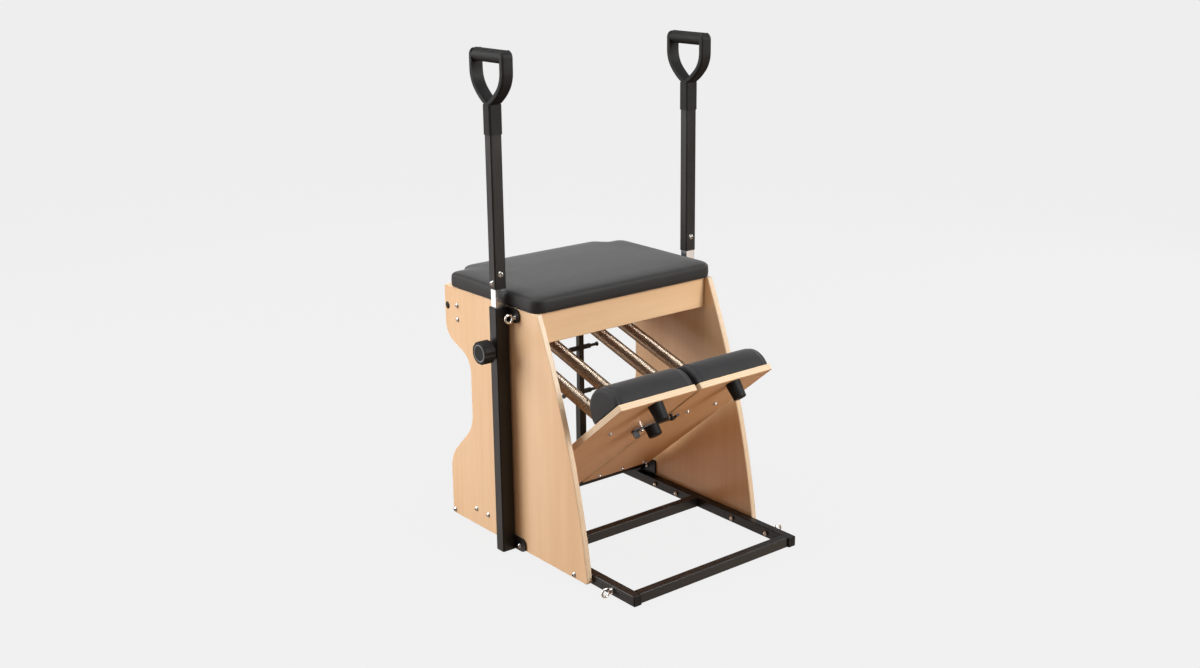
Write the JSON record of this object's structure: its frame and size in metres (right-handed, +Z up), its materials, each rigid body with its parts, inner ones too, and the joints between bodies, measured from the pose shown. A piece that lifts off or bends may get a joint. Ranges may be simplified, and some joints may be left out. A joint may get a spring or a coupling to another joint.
{
  "type": "pilates chair",
  "caption": "Plywood pilates chair with padded seat, spring-loaded split pedals joined by a swing lock, and height-adjustable handle masts on both sides.",
  "frame": {"origin": "on the floor, under the middle of the bounding box", "axes": "+X to the right seen from the pedal side, -Y towards the pedal side, +Z up"},
  "size_m": [0.6906, 0.7, 1.176],
  "materials": {
    "black_tube": "semi-gloss black powder coat",
    "plywood": "clear satin lacquer on pale maple ply",
    "seat_cover": "dark grey leatherette",
    "pad_cover": "charcoal leatherette",
    "chrome_fastener": "polished",
    "bright_insert": "satin",
    "spring_steel": "bright drawn wire",
    "plain_steel": "brushed",
    "black_plastic": "matt moulded",
    "black_rubber": "matt"
  },
  "bodies": {
    "frame": {"front_cross_tube": "black_tube", "middle_cross_tube": "black_tube", "rear_cross_tube": "black_tube", "tube_end_caps": "black_plastic", "front_rail": "plywood", "rear_rail": "plywood", "seat_board": "plywood", "seat_cushion": "seat_cover", "panel_plugs": "black_plastic", "frame_bolts": "chrome_fastener", "frame_nuts": "chrome_fastener", "eye_bolts": "chrome_fastener", "post_liners": "black_plastic", "hinge_axle": "plain_steel", "left_side_tube": "black_tube", "right_side_tube": "black_tube", "left_side_panel": "plywood", "right_side_panel": "plywood", "left_post": "black_tube", "right_post": "black_tube", "left_plunger_collar": "black_tube", "right_plunger_collar": "black_tube", "left_hinge_bracket": "black_tube", "right_hinge_bracket": "black_tube", "left_spring_tree": "black_tube", "right_spring_tree": "black_tube"},
    "left_pedal": {"left_pedal_board": "plywood", "left_pedal_pad": "pad_cover", "left_bumper": "black_rubber", "left_hinge_leaf": "black_tube", "left_hinge_bushes": "black_plastic", "left_pedal_bolts": "chrome_fastener", "left_spring_brackets": "black_tube", "lock_pivot_bolt": "chrome_fastener"},
    "right_pedal": {"right_pedal_board": "plywood", "right_pedal_pad": "pad_cover", "right_bumper": "black_rubber", "right_hinge_leaf": "black_tube", "right_hinge_bushes": "black_plastic", "right_pedal_bolts": "chrome_fastener", "right_spring_brackets": "black_tube", "keeper_stud": "black_tube"},
    "lock": {"lock_bar": "black_tube", "lock_knob": "black_plastic"},
    "left_spring": {"left_spring_rear_ends": "spring_steel", "left_springs": "spring_steel"},
    "left_spring_hook": {"left_spring_front_ends": "spring_steel"},
    "left_handle": {"left_handle_insert": "bright_insert", "left_handle_tube": "black_tube", "left_handle_grip": "black_plastic", "left_handle_bolts": "chrome_fastener"},
    "left_knob": {"left_pull_knob": "black_plastic"},
    "right_spring": {"right_spring_rear_ends": "spring_steel", "right_springs": "spring_steel"},
    "right_spring_hook": {"right_spring_front_ends": "spring_steel"},
    "right_handle": {"right_handle_insert": "bright_insert", "right_handle_tube": "black_tube", "right_handle_grip": "black_plastic", "right_handle_bolts": "chrome_fastener"},
    "right_knob": {"right_pull_knob": "black_plastic"}
  },
  "joints": [
    {"name": "left_pedal_hinge", "type": "hinge", "parent": "frame", "child": "left_pedal", "pos_m": [0, 0.211, 0.045], "axis": [1, 0, 0], "range_deg": [0, 38.3], "stiffness_Nm_per_rad": 40, "springref_deg": -42.97},
    {"name": "left_spring_swing", "type": "hinge", "parent": "frame", "child": "left_spring", "pos_m": [0, 0.305, 0.488], "axis": [1, 0, 0], "range_deg": [0, 20]},
    {"name": "left_spring_stretch", "type": "slide", "parent": "left_spring", "child": "left_spring_hook", "axis": [0, -0.9581, -0.2865], "range_m": [0, 0.2411], "deforming": ["left_springs"]},
    {"name": "left_handle_height", "type": "slide", "parent": "frame", "child": "left_handle", "axis": [0, 0, 1], "range_m": [-0.038, 0.152]},
    {"name": "left_knob_pull", "type": "slide", "parent": "frame", "child": "left_knob", "axis": [-1, 0, 0], "range_m": [0, 0.01], "stiffness_N_per_m": 900, "springref_m": -0.008},
    {"name": "right_pedal_hinge", "type": "hinge", "parent": "frame", "child": "right_pedal", "pos_m": [0, 0.211, 0.045], "axis": [1, 0, 0], "range_deg": [0, 38.3], "stiffness_Nm_per_rad": 40, "springref_deg": -42.97},
    {"name": "right_spring_swing", "type": "hinge", "parent": "frame", "child": "right_spring", "pos_m": [0, 0.305, 0.488], "axis": [1, 0, 0], "range_deg": [0, 20]},
    {"name": "right_spring_stretch", "type": "slide", "parent": "right_spring", "child": "right_spring_hook", "axis": [0, -0.9581, -0.2865], "range_m": [0, 0.2411], "deforming": ["right_springs"]},
    {"name": "right_handle_height", "type": "slide", "parent": "frame", "child": "right_handle", "axis": [0, 0, 1], "range_m": [-0.038, 0.152]},
    {"name": "right_knob_pull", "type": "slide", "parent": "frame", "child": "right_knob", "axis": [1, 0, 0], "range_m": [0, 0.01], "stiffness_N_per_m": 900, "springref_m": -0.008},
    {"name": "lock_swing", "type": "hinge", "parent": "left_pedal", "child": "lock", "pos_m": [-0.073, -0.1592, 0.32853], "axis": [0, 0.6361, 0.7716], "range_deg": [0, 95]}
  ],
  "couplings": [
    {"joint": "right_pedal_hinge", "follows": "left_pedal_hinge", "ratio": 1},
    {"joint": "left_spring_swing", "follows": "left_pedal_hinge", "ratio": 0.52004},
    {"joint": "left_spring_stretch", "follows": "left_pedal_hinge", "m_per_rad": 0.36028},
    {"joint": "right_spring_swing", "follows": "left_pedal_hinge", "ratio": 0.52004},
    {"joint": "right_spring_stretch", "follows": "left_pedal_hinge", "m_per_rad": 0.36028}
  ]
}
